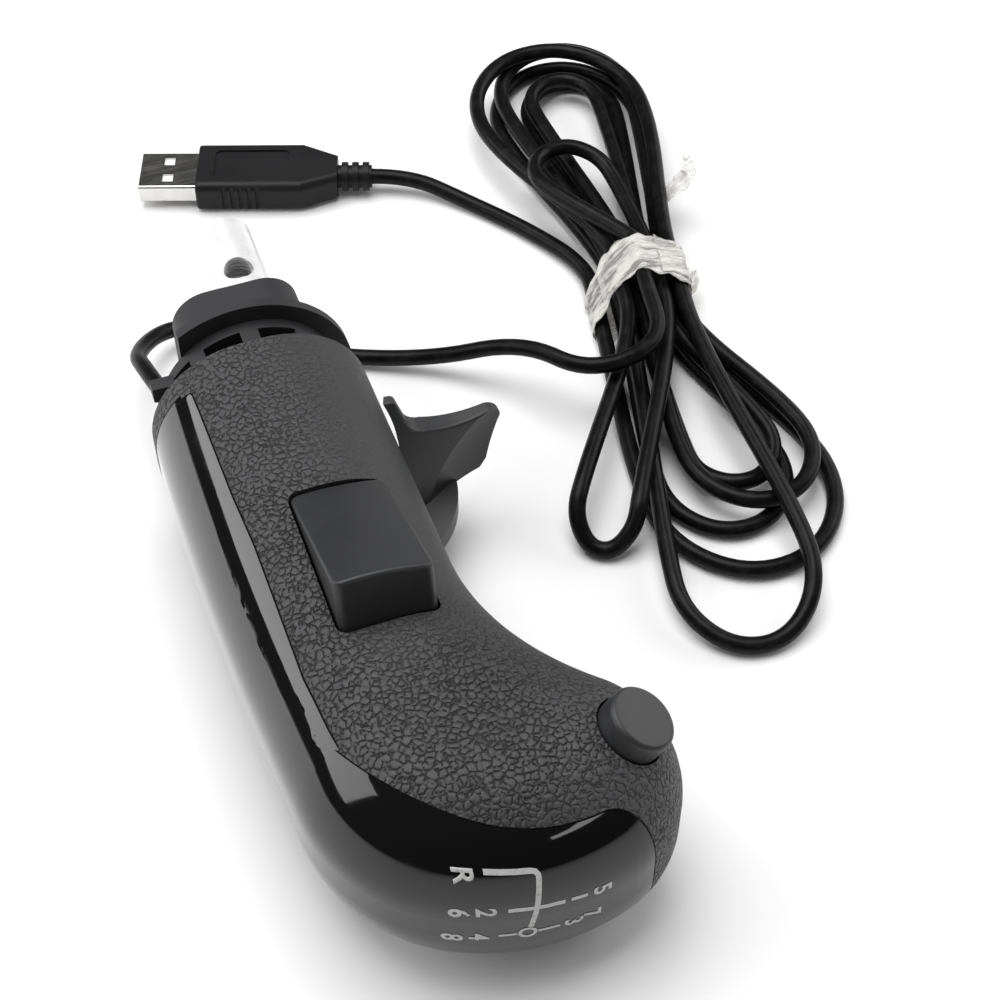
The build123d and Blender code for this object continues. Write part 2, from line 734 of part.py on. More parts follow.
# Cable tie: a clear tape band round the hank's waist.
tie_plane = Plane(origin=hank_point(-2.4, -5.5, 0), x_dir=hank_way(90), z_dir=hank_way(0))
tie_height = layer_z[3] + cord / 2 + 0.65
with BuildPart() as cable_tie:
    with BuildSketch(tie_plane):
        with Locations((0, tie_height / 2 + 0.05)):
            RectangleRounded(23.0, tie_height, 2.2)
            RectangleRounded(22.0, tie_height - 1, 1.7, mode=Mode.SUBTRACT)
    extrude(amount=11)
finish(cable_tie.part, "cable_tie")


def plug_plane(back):
    """Plane square to the plug's axis, at a distance behind its mouth."""
    return Plane(origin=plug_tip + plug_way * back, x_dir=(plug_way.Y, -plug_way.X, 0), z_dir=plug_way)


# USB plug: shell, tongue with four contacts, overmould with a bare panel, strain relief.
shell_length = 13.0
overmould_length = 32.0
with BuildPart() as plug_shell:
    with BuildSketch(plug_plane(0)):
        RectangleRounded(12.0, 4.5, 0.6)
        RectangleRounded(11.4, 3.9, 0.35, mode=Mode.SUBTRACT)
    extrude(amount=shell_length + 6)
    for side in (-2.8, 2.8):
        with BuildSketch(Plane.XY.offset(plug_tip.Z)):
            with Locations(Plane(origin=plug_tip + plug_way * 6.4, x_dir=plug_way)):
                with Locations((0, side)):
                    Rectangle(2.4, 2.4)
        extrude(amount=10, both=True, mode=Mode.SUBTRACT)
finish(plug_shell.part, "plug_shell")

with BuildPart() as plug_tongue:
    with BuildSketch(plug_plane(0.6)):
        with Locations((0, -0.98)):
            Rectangle(10.6, 1.84)
    extrude(amount=shell_length + 5)
finish(plug_tongue.part, "plug_tongue")

with BuildPart() as plug_contacts:
    with BuildSketch(plug_plane(1.4)):
        for place in (-3.5, -1.0, 1.0, 3.5):
            with Locations((place, 0.11)):
                Rectangle(1.0, 0.3)
    extrude(amount=shell_length - 3)
finish(plug_contacts.part, "plug_contacts")

with BuildPart() as plug_overmould:
    with BuildSketch(plug_plane(shell_length)):
        RectangleRounded(15.5, 7.7, 1.9)
    extrude(amount=24)
    with BuildSketch(plug_plane(shell_length + 24)):
        RectangleRounded(15.5, 7.7, 1.9)
    with BuildSketch(plug_plane(shell_length + overmould_length)):
        RectangleRounded(8.6, 7.0, 1.9)
    loft()
    front_edges = plug_overmould.faces().sort_by(Axis(plug_tip, plug_way))[0].outer_wire().edges()
    fillet(front_edges, radius=0.6)
    with BuildSketch(plug_plane(shell_length)):
        RectangleRounded(12.0, 4.5, 0.6)
    extrude(amount=6, mode=Mode.SUBTRACT)
    for side in (-1, 1):
        with BuildSketch(Plane.XY.offset(plug_tip.Z + side * 3.85)):
            with Locations(Plane(origin=plug_tip + plug_way * (shell_length + 12.5), x_dir=plug_way)):
                RectangleRounded(17, 9.5, 1.4)
        extrude(amount=-side * 0.4, mode=Mode.SUBTRACT)
        for rib in range(5):
            middle = plug_tip + plug_way * (shell_length + 6 + 1.9 * rib)
            with BuildSketch(Plane(origin=middle, x_dir=(plug_way.Y, -plug_way.X, 0), z_dir=plug_way)):
                with Locations((side * 7.75, 0)):
                    Rectangle(0.9, 9)
            extrude(amount=0.8, mode=Mode.SUBTRACT)
finish(plug_overmould.part, "plug_overmould")

with BuildPart() as plug_strain_relief:
    with BuildSketch(plug_plane(shell_length + overmould_length)):
        Circle(2.6)
    extrude(amount=7.8)
    for ring in (1.0, 3.4, 5.8):
        with BuildSketch(plug_plane(shell_length + overmould_length + ring)):
            Circle(3.3)
        extrude(amount=1.4)
finish(plug_strain_relief.part, "plug_strain_relief")
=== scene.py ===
import math

import bpy
from mathutils import Matrix, Vector, noise


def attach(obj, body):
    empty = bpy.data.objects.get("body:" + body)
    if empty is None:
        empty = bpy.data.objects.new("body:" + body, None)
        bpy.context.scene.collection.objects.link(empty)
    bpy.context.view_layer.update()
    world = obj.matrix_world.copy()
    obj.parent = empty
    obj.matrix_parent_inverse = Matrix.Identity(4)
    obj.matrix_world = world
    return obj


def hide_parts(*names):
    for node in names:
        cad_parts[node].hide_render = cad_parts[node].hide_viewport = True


mm = 0.001
# vertices nearer to each other than this, in metres, become one
weld = 0.000002
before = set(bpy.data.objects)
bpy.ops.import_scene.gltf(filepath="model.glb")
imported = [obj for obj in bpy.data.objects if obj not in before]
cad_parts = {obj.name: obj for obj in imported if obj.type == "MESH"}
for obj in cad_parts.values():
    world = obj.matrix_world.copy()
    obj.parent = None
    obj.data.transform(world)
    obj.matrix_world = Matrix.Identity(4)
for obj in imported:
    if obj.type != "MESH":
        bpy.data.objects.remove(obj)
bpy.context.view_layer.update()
bpy.ops.object.select_all(action="DESELECT")
scene = bpy.context.scene
scene.view_settings.view_transform = "Standard"
print("frame loaded")

# Camera of the product shot, in mm
shot = {
    "place": (-57.0, -225.9, 311.7),
    "looking": (0.2175, 0.5977, -0.7720),
    "right": (0.9397, -0.3420, 0.0),
    "lens": 72,
    "sensor": 36,
    "nearest": 10.0,
}


def placeCamera():
    looking = Vector(shot["looking"]).normalized()
    right = Vector(shot["right"]).normalized()
    up = right.cross(looking).normalized()
    turned = Matrix((right, up, -looking)).transposed().to_4x4()
    bpy.ops.object.camera_add()
    camera = bpy.context.object
    camera.name = "shotCamera"
    camera.matrix_world = Matrix.Translation(Vector(shot["place"]) * mm) @ turned
    camera.data.lens = shot["lens"]
    camera.data.sensor_width = shot["sensor"]
    camera.data.clip_start = shot["nearest"] * mm
    scene.camera = camera


placeCamera()
print("camera placed")


# A shader socket that Python's operators work on
class Signal:
    def __init__(self, tree, socket):
        self.tree = tree
        self.socket = socket

    def maths(self, operation, *others):
        node = self.tree.nodes.new("ShaderNodeMath")
        node.operation = operation
        for place, value in enumerate((self,) + others):
            if isinstance(value, Signal):
                self.tree.links.new(value.socket, node.inputs[place])
            else:
                node.inputs[place].default_value = value
        return Signal(self.tree, node.outputs[0])

    def __add__(self, other):
        return self.maths("ADD", other)

    __radd__ = __add__

    def __sub__(self, other):
        return self.maths("SUBTRACT", other)

    def __rsub__(self, other):
        return (self * -1.0) + other

    def __mul__(self, other):
        return self.maths("MULTIPLY", other)

    __rmul__ = __mul__

    def __truediv__(self, other):
        return self.maths("DIVIDE", other)

    def held(self):
        # kept between 0 and 1
        return self.maths("MAXIMUM", 0.0).maths("MINIMUM", 1.0)

    def above(self, edge, soft):
        # 0 below the edge, 1 above it, with a soft step between
        return ((self - edge) / soft + 0.5).held()


# One material with its Principled shader and the nodes that feed it
class Finish:
    def __init__(self, name, color, roughness=0.5, metallic=0.0, coat=0.0, coatRoughness=0.1, shine=0.5):
        self.material = bpy.data.materials.new(name)
        self.material.use_nodes = True
        self.tree = self.material.node_tree
        self.shader = next(n for n in self.tree.nodes if n.type == "BSDF_PRINCIPLED")
        self.shader.inputs["Base Color"].default_value = (*color, 1)
        self.shader.inputs["Roughness"].default_value = roughness
        self.shader.inputs["Metallic"].default_value = metallic
        self.shader.inputs["Coat Weight"].default_value = coat
        self.shader.inputs["Coat Roughness"].default_value = coatRoughness
        self.shader.inputs["Specular IOR Level"].default_value = shine
        self.material.diffuse_color = (*color, 1)

    @classmethod
    def onTree(cls, tree):
        # the same helpers on nodes that are no material's
        finish = cls.__new__(cls)
        finish.tree = tree
        return finish

    def node(self, kind, settings=None, sockets=None, out=0):
        made = self.tree.nodes.new(kind)
        for key, value in (settings or {}).items():
            setattr(made, key, value)
        for key, value in (sockets or {}).items():
            if isinstance(value, Signal):
                self.tree.links.new(value.socket, made.inputs[key])
            else:
                made.inputs[key].default_value = value
        return Signal(self.tree, made.outputs[out])

    def place(self, scale=(1, 1, 1)):
        where = self.node("ShaderNodeTexCoord", out="Object")
        return self.node("ShaderNodeMapping", {}, {"Vector": where, "Scale": scale})

    def axes(self, where):
        split = self.node("ShaderNodeSeparateXYZ", {}, {0: where}).socket.node
        return [Signal(self.tree, output) for output in split.outputs]

    def noise(self, where, scale, detail=3.0, roughness=0.5, distortion=0.0):
        sockets = {
            "Vector": where, "Scale": scale, "Detail": detail,
            "Roughness": roughness, "Distortion": distortion,
        }
        return self.node("ShaderNodeTexNoise", {}, sockets, out="Fac")

    def warped(self, where, scale, amount):
        # the place pushed about by a noise
        sockets = {"Vector": where, "Scale": scale, "Detail": 2.0}
        push = self.node("ShaderNodeTexNoise", {}, sockets, out="Color")
        centred = self.node("ShaderNodeVectorMath", {"operation": "SUBTRACT"}, {0: push, 1: (0.5, 0.5, 0.5)})
        sized = self.node("ShaderNodeVectorMath", {"operation": "SCALE"}, {0: centred, "Scale": amount})
        return self.node("ShaderNodeVectorMath", {"operation": "ADD"}, {0: where, 1: sized})

    def cells(self, where, scale, feature="F1", randomness=1.0):
        sockets = {"Vector": where, "Scale": scale, "Randomness": randomness}
        return self.node("ShaderNodeTexVoronoi", {"feature": feature}, sockets, out="Distance")

    def mix(self, factor, *colors):
        first, second = ((*color, 1) if isinstance(color, tuple) else color for color in colors)
        return self.node("ShaderNodeMix", {"data_type": "RGBA"}, {0: factor, 6: first, 7: second}, 2)

    def feed(self, **links):
        names = {
            "color": "Base Color", "roughness": "Roughness", "metallic": "Metallic",
            "coat": "Coat Weight", "alpha": "Alpha",
        }
        for key, value in links.items():
            self.tree.links.new(value.socket, self.shader.inputs[names[key]])

    def bump(self, height, distance, strength=1.0):
        made = self.node("ShaderNodeBump", {}, {"Height": height, "Distance": distance, "Strength": strength})
        self.tree.links.new(made.socket, self.shader.inputs["Normal"])


def moulded(name, color, roughness, grain=2500.0, depth=0.00003, shine=0.5):
    # plain moulded plastic: fine grain, and rubbed patches that shine a little more
    rubbed = 1.35
    finish = Finish(name, color, roughness, shine=shine)
    where = finish.place()
    patches = finish.noise(where, 60.0, 4.0, 0.6)
    fine = finish.noise(where, grain, 2.0)
    paler = tuple(min(1.0, part * rubbed) for part in color)
    finish.feed(
        color=finish.mix(patches.above(0.5, 0.5), color, paler),
        roughness=(patches - 0.5) * 0.25 + roughness,
    )
    finish.bump(fine, depth, 0.6)
    return finish


# The grips' leather grain: scales are per metre, places and depths in metres
pebbled = {
    "cells": 780.0,
    "bendScale": 700.0,
    "bend": 0.0008,
    "breakScale": 1300.0,
    "patchScale": 70.0,
    "fineScale": 2600.0,
    "glintScale": 3300.0,
    "depth": 0.00028,
    "backEdge": (-0.008, 0.020),
    "headEdge": (-0.040, 0.026),
    # where the painted sheen lies on the right of the head
    "sheenCornerX": (0.004, 0.02),
    "sheenCornerY": (-0.064, 0.02),
    "dark": (0.024, 0.0243, 0.026),
    "middle": (0.034, 0.0345, 0.0365),
    # the tone of the painted sheen
    "lit": (0.062, 0.0625, 0.066),
    # the colour of the painted glints
    "glint": (0.10, 0.10, 0.105),
    "crack": (0.006, 0.006, 0.0065),
}


def leatherGrain():
    # moulded leather: small pebbles parted by short broken cracks, deepest toward the seam and the head; a
    # painted sheen pales the seam side and the head's right corner, and painted glints fleck it
    finish = Finish("leatherGrain", (0.030, 0.0305, 0.032), 0.55)
    where = finish.place()
    x, y = finish.axes(where)[:2]
    bent = finish.warped(where, pebbled["bendScale"], pebbled["bend"])
    crack = finish.cells(bent, pebbled["cells"], "DISTANCE_TO_EDGE")
    pebble = (crack * 3.2).maths("MINIMUM", 1.0)
    broken = finish.noise(where, pebbled["breakScale"], 2.0).above(0.45, 0.14)
    patches = finish.noise(where, pebbled["patchScale"], 3.0, 0.55)
    fine = finish.noise(where, pebbled["fineScale"], 3.0, 0.6)
    glint = finish.noise(where, pebbled["glintScale"], 1.0).above(0.71, 0.05)
    back = 1.0 - x.above(*pebbled["backEdge"])
    head = 1.0 - y.above(*pebbled["headEdge"])
    corner = x.above(*pebbled["sheenCornerX"]) * (1.0 - y.above(*pebbled["sheenCornerY"]))
    rough = (back.maths("MAXIMUM", head) * 0.85 + (patches - 0.5) * 0.9 + 0.06).held()
    opened = (1.0 - (crack * 7.0).maths("MINIMUM", 1.0)) * broken * rough
    # painted sheen: the seam side and the right of the head are paled toward the lit tone where the lights
    # catch the leather
    lit = (back * 0.55 + corner * 0.8).maths("MINIMUM", 1.0)
    tone = finish.mix(patches.above(0.5, 0.6), pebbled["dark"], pebbled["middle"])
    tone = finish.mix(lit, tone, pebbled["lit"])
    # painted glint: bright specks mixed into the colour over the shinier spots
    tone = finish.mix(glint * 0.5, tone, pebbled["glint"])
    tone = finish.mix(opened, tone, pebbled["crack"])
    finish.feed(color=tone, roughness=0.60 - fine * 0.14 - glint * 0.22 + opened * 0.2)
    height = pebble * (rough * 0.40 + 0.05) + fine * 0.22 + glint * 0.12 - opened * 1.1
    finish.bump(height, pebbled["depth"], 0.9)
    return finish


# The cover's lacquer: full toward the collar, fading out over the head
lacquer = {
    "coat": 0.6,
    "fade": (-0.060, 0.034),
    "ripple": 0.00006,
}


def glossCover():
    # black gloss plastic with faint ripples and a few dull handling smears
    finish = Finish("glossCover", (0.006, 0.006, 0.0065), 0.06, coat=lacquer["coat"], coatRoughness=0.03)
    where = finish.place()
    ripple = finish.noise(where, 35.0, 2.0)
    smear = finish.noise(finish.place(scale=(1, 0.35, 1)), 120.0, 5.0, 0.65)
    layer = finish.axes(where)[1].above(*lacquer["fade"]) * lacquer["coat"]
    finish.feed(roughness=smear.above(0.62, 0.2) * 0.10 + 0.05, coat=layer)
    finish.bump(ripple, lacquer["ripple"], 0.25)
    return finish


def turnedMetal(name, color, roughness, ringAxis=1, rings=3800.0, metallic=1.0):
    # metal with lathe rings round one axis
    stretch = tuple(1.0 if k == ringAxis else 0.02 for k in range(3))
    duller = tuple(part * 0.86 for part in color)
    finish = Finish(name, color, roughness, metallic=metallic)
    lines = finish.noise(finish.place(scale=stretch), rings, 3.0, 0.7)
    scuffs = finish.noise(finish.place(), 240.0, 4.0, 0.6)
    finish.feed(
        roughness=(lines - 0.5) * 0.2 + (scuffs - 0.5) * 0.15 + roughness,
        color=finish.mix(scuffs.above(0.58, 0.3), color, duller),
    )
    finish.bump(lines, 0.00002, 0.7)
    return finish


def rubberSkin():
    # the lead's jacket: soft black, a little uneven along its length, with dull dust
    black = (0.0045, 0.0045, 0.005)
    finish = Finish("rubberSkin", black, 0.36, shine=0.13)
    where = finish.place()
    dust = finish.noise(where, 420.0, 4.0, 0.65)
    wave = finish.noise(where, 90.0, 2.0)
    finish.feed(
        color=finish.mix(dust.above(0.6, 0.25), black, (0.013, 0.013, 0.014)),
        roughness=(wave - 0.5) * 0.24 + 0.34,
    )
    finish.bump(wave * 0.7 + dust * 0.3, 0.00006, 0.5)
    return finish


def tapeFilm():
    # clear film, milky where it is creased and layered, with streaks that run round the hank
    finish = Finish("tapeFilm", (0.80, 0.79, 0.76), 0.28, coat=0.4, coatRoughness=0.12)
    streaks = finish.noise(finish.place(scale=(0.18, 1, 0.18)), 900.0, 4.0, 0.6, 0.4)
    milk = finish.noise(finish.place(scale=(0.4, 1, 0.4)), 210.0, 3.0, 0.6)
    cloud = streaks * 0.6 + milk * 0.4
    finish.feed(
        alpha=cloud.above(0.50, 0.14) * 0.66 + 0.20,
        color=finish.mix(streaks, (0.86, 0.85, 0.82), (0.70, 0.68, 0.64)),
        roughness=milk * 0.3 + 0.15,
    )
    finish.bump(streaks * 0.8 + milk * 0.6, 0.0005, 0.8)
    return finish


def whitePrint():
    # printed white ink, thin and rubbed in places
    white = (0.62, 0.62, 0.61)
    finish = Finish("whitePrint", white, 0.45)
    worn = finish.noise(finish.place(), 900.0, 4.0, 0.65)
    finish.feed(
        color=finish.mix(worn.above(0.63, 0.14), white, (0.30, 0.30, 0.30)),
        roughness=worn * 0.2 + 0.36,
    )
    finish.bump(worn, 0.00002, 0.5)
    return finish


def seamShadow():
    # painted shadow: a dark strip that stands for the shade in a parting line
    finish = Finish("seamShadow", (0.004, 0.004, 0.004), 0.8, shine=0.05)
    dust = finish.noise(finish.place(), 700.0, 3.0)
    finish.feed(
        color=finish.mix(dust, (0.003, 0.003, 0.003), (0.007, 0.007, 0.007)),
        roughness=dust * 0.2 + 0.7,
    )
    finish.bump(dust, 0.00003, 0.5)
    return finish


def boardMask():
    # circuit board: green mask with copper tracks under it
    finish = Finish("boardMask", (0.02, 0.14, 0.06), 0.3, coat=0.4)
    tracks = finish.cells(finish.place(), 330.0, "DISTANCE_TO_EDGE", 0.4)
    finish.feed(color=finish.mix(tracks.above(0.06, 0.02), (0.05, 0.26, 0.10), (0.015, 0.12, 0.05)))
    finish.bump(tracks, 0.00005, 0.4)
    return finish


leather = leatherGrain()
gloss = glossCover()
rubber = rubberSkin()
matte = moulded("controlMatte", (0.020, 0.0205, 0.022), 0.46)
collarMatte = moulded("collarMatte", (0.020, 0.020, 0.022), 0.55, 1600.0, 0.00005, shine=0.4)
innerMatte = moulded("innerMatte", (0.020, 0.020, 0.022), 0.6)
plugMatte = moulded("plugMatte", (0.010, 0.010, 0.011), 0.42, 1900.0, 0.00004, shine=0.2)
whitePlastic = moulded("tongueWhite", (0.75, 0.75, 0.74), 0.4)
aluminium = turnedMetal("rodAluminium", (0.94, 0.94, 0.945), 0.36, metallic=0.35)
steel = turnedMetal("screwSteel", (0.56, 0.56, 0.55), 0.32, 2)
shellSteel = turnedMetal("plugSteel", (0.70, 0.69, 0.67), 0.22, 1, 1500.0)
gold = turnedMetal("contactGold", (0.83, 0.62, 0.28), 0.25, 0)
board = boardMask()
tape = tapeFilm()
ink = whitePrint()
shadow = seamShadow()
print("finishes made")

nodeFinish = {
    "grip_shell_left": leather,
    "grip_shell_right": leather,
    "gloss_cover": gloss,
    "shell_screws": steel,
    "splitter_rocker": matte,
    "rocker_pin": steel,
    "rocker_cradle": innerMatte,
    "rocker_switches": innerMatte,
    "range_lever": matte,
    "lever_pin": steel,
    "lever_washer": steel,
    "lever_switch": innerMatte,
    "thumb_button": matte,
    "button_guide": innerMatte,
    "button_switch": innerMatte,
    "main_board": board,
    "board_chips": innerMatte,
    "board_screws": steel,
    "neck_cage": collarMatte,
    "collar": collarMatte,
    "adapter_rod": aluminium,
    "rod_pin": steel,
    "cable_grommet": rubber,
    "cable_tie": tape,
    "plug_strain_relief": plugMatte,
    "plug_overmould": plugMatte,
    "plug_shell": shellSteel,
    "plug_tongue": whitePlastic,
    "plug_contacts": gold,
}
for nodeName, finish in nodeFinish.items():
    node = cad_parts[nodeName]
    node.data.materials.clear()
    node.data.materials.append(finish.material)
print("CAD pieces finished")

# The USB lead in mm: one line from the grip through the tied hank to the plug.
# A loop is its reach from the tie, half its width and its lean in degrees; points in the hank's own
# frame are across, along and height.
lead = {
    "diameter": 3.5,
    "exit": (-27.2, 38.0, 18.0),
    "fromGrip": (
        (-27.2, 47.5, 18.0), (-29.4, 61.0, 15.0), (-30.0, 69.0, 11.5), (-23.5, 78.5, 6.5),
        (-15.0, 82.0, 2.6), (6.0, 65.5, 1.8), (29.0, 54.5, 3.0),
    ),
    "waist": (79.5, 56.0, 0.0),
    "hankTurn": 78.8,
    "tieLayers": (2.4, 6.4, 10.4, 14.4),
    "looseLayers": (1.8, 5.6, 9.4, 13.6),
    "intoTie": (
        (-30.5, -18.5, 13.2), (-18.4, -31.0, 14.4), (-1.5, -24.5, 14.4),
        (-2.1, -6.5, 14.4), (-2.1, 6.5, 14.4),
    ),
    "topLoops": (
        (43.9, 8.6, 17.8),
        (80.4, 19.1, 9.0),
        (84.6, 15.2, 5.2),
        (73.4, 7.8, 6.0),
        (76.5, 10.4, 4.4),
        (82.3, 16.5, 5.7),
    ),
    "lowLoops": (
        (70.0, 6.0, -18.5),
        (93.5, 13.4, 2.2),
        (63.1, 12.9, 13.3),
        (55.7, 8.5, 10.3),
        (65.6, 13.0, 5.8),
        (76.5, 19.0, 8.5),
    ),
    "lowFolds": (1.8, 1.8, 5.6, 3.7, 1.8, 1.8),
    "strandPlaces": (2.1, 6.2, 6.2, 2.1, 2.1, 6.2, 11.0),
    "strandLayers": (2, 2, 1, 1, 0, 0, 0),
    "crest": 1.15,
    "crestRound": 0.414,
    "shoulder": 0.62,
    "neck": 0.25,
    "outOfTie": (-11.0, 12.5, 2.4),
    "toPlug": ((63.5, 86.0, 1.8), (53.0, 100.5, 1.8)),
    "plugTip": (-14.7, 130.9, 3.9),
    "plugWay": (0.942, -0.335, 0.0),
    "plugLength": 52.8,
    "plugStraight": 9.0,
}


def hankPoint(across, along, height, lean=0.0):
    # a point in the hank's own frame, leaned to the left about the middle of the tie
    tilt = math.radians(lean)
    turn = math.radians(lead["hankTurn"])
    side = across * math.cos(tilt) - along * math.sin(tilt)
    up = across * math.sin(tilt) + along * math.cos(tilt)
    alongWay = Vector((math.cos(turn), math.sin(turn), 0))
    acrossWay = Vector((math.sin(turn), -math.cos(turn), 0))
    return Vector(lead["waist"]) + acrossWay * side + alongWay * up + Vector((0, 0, height))


def loopPoints(loop, heights, startPlace, endPlace, way):
    # one half turn: out along one flank, round the crest and back; way is 1 upward and -1 downward
    reach, half, lean = loop
    startZ, foldZ, endZ = heights
    depth = lead["crest"] * half
    side = reach - depth
    bend = lead["crestRound"]
    neck = lead["neck"] * side
    shoulder = max(side - bend * depth, lead["shoulder"] * side)
    outline = (
        (-startPlace, neck, startZ, 0.0),
        (-half, shoulder, startZ, 1.0),
        (-half, side + bend * depth, (startZ + foldZ) / 2, 1.0),
        (-bend * half, reach, foldZ, 1.0),
        (bend * half, reach, foldZ, 1.0),
        (half, side + bend * depth, (foldZ + endZ) / 2, 1.0),
        (half, shoulder, endZ, 1.0),
        (endPlace, neck, endZ, 0.0),
    )
    return [
        hankPoint(across * way, along * way, height, lean * leaned)
        for across, along, height, leaned in outline
    ]


def leadLine():
    tied, loose = lead["tieLayers"], lead["looseLayers"]
    places, layers = lead["strandPlaces"], lead["strandLayers"]
    points = [Vector(lead["exit"])] + [Vector(point) for point in lead["fromGrip"]]
    points += [hankPoint(*point) for point in lead["intoTie"]]
    for k, (top, low, fold) in enumerate(zip(lead["topLoops"], lead["lowLoops"], lead["lowFolds"])):
        place, nextPlace = places[k], places[k + 1]
        layer, nextLayer = layers[k], layers[k + 1]
        startZ = loose[3] if k == 0 else loose[layer]
        points += loopPoints(top, (startZ, (startZ + loose[layer]) / 2, loose[layer]), place, place, 1)
        points.append(hankPoint(place, 0, tied[layer]))
        points += loopPoints(low, (loose[layer], fold, loose[nextLayer]), place, nextPlace, -1)
        points.append(hankPoint(-nextPlace, 0, tied[nextLayer]))
    plugWay = Vector(lead["plugWay"]).normalized()
    plugBack = Vector(lead["plugTip"]) + plugWay * lead["plugLength"]
    points.append(hankPoint(*lead["outOfTie"]))
    points += [Vector(point) for point in lead["toPlug"]]
    return points + [plugBack + plugWay * lead["plugStraight"], plugBack]


def makeLead():
    points = leadLine()
    curve = bpy.data.curves.new("usbLead", "CURVE")
    curve.dimensions = "3D"
    curve.resolution_u = 8
    curve.bevel_depth = lead["diameter"] / 2 * mm
    curve.bevel_resolution = 5
    curve.use_fill_caps = True
    spline = curve.splines.new("NURBS")
    spline.points.add(len(points) - 1)
    for point, where in zip(spline.points, points):
        point.co = (*(where * mm), 1)
    spline.order_u = 3
    spline.use_endpoint_u = True
    piece = bpy.data.objects.new("usbLead", curve)
    scene.collection.objects.link(piece)
    piece.data.materials.append(rubber.material)
    return piece


usbLead = makeLead()
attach(usbLead, "knob")
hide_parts("cord_knob_lead", "cord_hank", "cord_plug_lead")
print("lead laid")


# Helpers for the modelled pieces
def held(value):
    return max(0.0, min(1.0, value))


def editAll(*steps):
    bpy.ops.object.mode_set(mode="EDIT")
    bpy.ops.mesh.select_all(action="SELECT")
    for step in steps:
        step()
    bpy.ops.object.mode_set(mode="OBJECT")


def pickOnly(*pieces):
    bpy.ops.object.select_all(action="DESELECT")
    for piece in pieces:
        piece.select_set(True)
    bpy.context.view_layer.objects.active = pieces[0]


def joinAll(pieces):
    pickOnly(*pieces)
    bpy.ops.object.join()
    return bpy.context.object


def settle(piece):
    pickOnly(piece)
    bpy.ops.object.transform_apply(location=True, rotation=True, scale=True)


def paint(piece, *finishes):
    piece.data.materials.clear()
    for finish in finishes:
        piece.data.materials.append(finish.material)


def addModifier(piece, kind, **settings):
    pickOnly(piece)
    made = piece.modifiers.new(kind.lower(), kind)
    for key, value in settings.items():
        setattr(made, key, value)
    bpy.ops.object.modifier_apply(modifier=made.name)


def mergedCopy(name, nodeNames):
    # one clean mesh of some CAD nodes, which are themselves left alone
    copies = []
    for nodeName in nodeNames:
        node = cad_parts[nodeName]
        copied = bpy.data.objects.new(name, node.data.copy())
        copied.matrix_world = node.matrix_world
        scene.collection.objects.link(copied)
        copies.append(copied)
    merged = joinAll(copies) if len(copies) > 1 else copies[0]
    settle(merged)
    editAll(
        lambda: bpy.ops.mesh.remove_doubles(threshold=weld),
        lambda: bpy.ops.mesh.normals_make_consistent(inside=False),
    )
    return merged


def wrapOnto(piece, nodeNames, axis, forward, offset):
    # presses a flat piece onto some CAD nodes along one axis
    target = mergedCopy("wrapTarget", nodeNames)
    addModifier(
        piece, "SHRINKWRAP", target=target, wrap_method="PROJECT", wrap_mode="ABOVE_SURFACE",
        use_project_x=axis == "x", use_project_y=axis == "y", use_project_z=axis == "z",
        use_positive_direction=forward, use_negative_direction=not forward, offset=offset * mm,
    )
    bpy.data.objects.remove(target)


# Gate pattern on the cover: x and z in mm as seen from the front, pressed onto the cover along Y
gate = {
    "lines": (
        (
            (
                (-7.3, 35.9), (-0.2, 35.45), (0.5, 35.25), (0.85, 34.7), (0.85, 34.0),
                (0.0, 28.2), (-1.05, 22.6),
            ),
            0.9,
        ),
        (((-4.5, 28.3), (4.6, 28.0)), 0.85),
        (((5.6, 28.05), (8.4, 27.8)), 0.75),
        (((-6.1, 20.75), (-3.2, 20.85)), 0.6),
        (((0.2, 20.9), (3.8, 20.95)), 0.6),
    ),
    "ring": ((-1.5, 20.9), 1.55, 0.95),
    "ringSteps": 32,
    "numbers": (
        ("R", -10.5, 35.3), ("5", 10.9, 27.6), ("2", -8.0, 28.1), ("6", -12.0, 27.8),
        ("4", -9.2, 20.5), ("8", -13.2, 20.0), ("3", 6.0, 20.9), ("7", 9.2, 21.3),
    ),
    "textSize": 4.3,
    "bolder": 0.11,
    "front": -120.0,
    "lift": 0.06,
    "thickness": 0.04,
}


def outlineOf(path, width):
    # both edges of a line drawn with a broad pen
    edges = []
    for run in (path, path[::-1]):
        for k, point in enumerate(run):
            before, after = Vector(run[max(0, k - 1)]), Vector(run[min(len(run) - 1, k + 1)])
            along = (after - before).normalized()
            edges.append(Vector(point) + Vector((-along.y, along.x)) * width / 2)
    return edges


def flatShape(name, outlines):
    curve = bpy.data.curves.new(name, "CURVE")
    curve.dimensions = "2D"
    curve.fill_mode = "BOTH"
    for outline in outlines:
        spline = curve.splines.new("POLY")
        spline.points.add(len(outline) - 1)
        spline.use_cyclic_u = True
        for point, (across, high) in zip(spline.points, outline):
            point.co = (across * mm, high * mm, 0, 1)
    shape = bpy.data.objects.new(name, curve)
    scene.collection.objects.link(shape)
    shape.matrix_world = Matrix.Translation((0, gate["front"] * mm, 0)) @ Matrix.Rotation(math.pi / 2, 4, "X")
    return shape


def gateNumber(sign, across, high):
    # the numbers stand turned a quarter to the right
    bpy.ops.object.text_add()
    piece = bpy.context.object
    piece.data.body = sign
    piece.data.size = gate["textSize"] * mm
    piece.data.offset = gate["bolder"] * mm
    piece.data.align_x = "CENTER"
    piece.data.align_y = "CENTER"
    turned = Matrix(((0, 1, 0), (0, 0, -1), (-1, 0, 0))).to_4x4()
    piece.matrix_world = Matrix.Translation(Vector((across, gate["front"], high)) * mm) @ turned
    return piece


def gateRing():
    (across, high), *radii = gate["ring"]
    angles = [math.tau * k / gate["ringSteps"] for k in range(gate["ringSteps"])]
    circles = [[(across + r * math.cos(a), high + r * math.sin(a)) for a in angles] for r in radii]
    return flatShape("gateRing", circles)


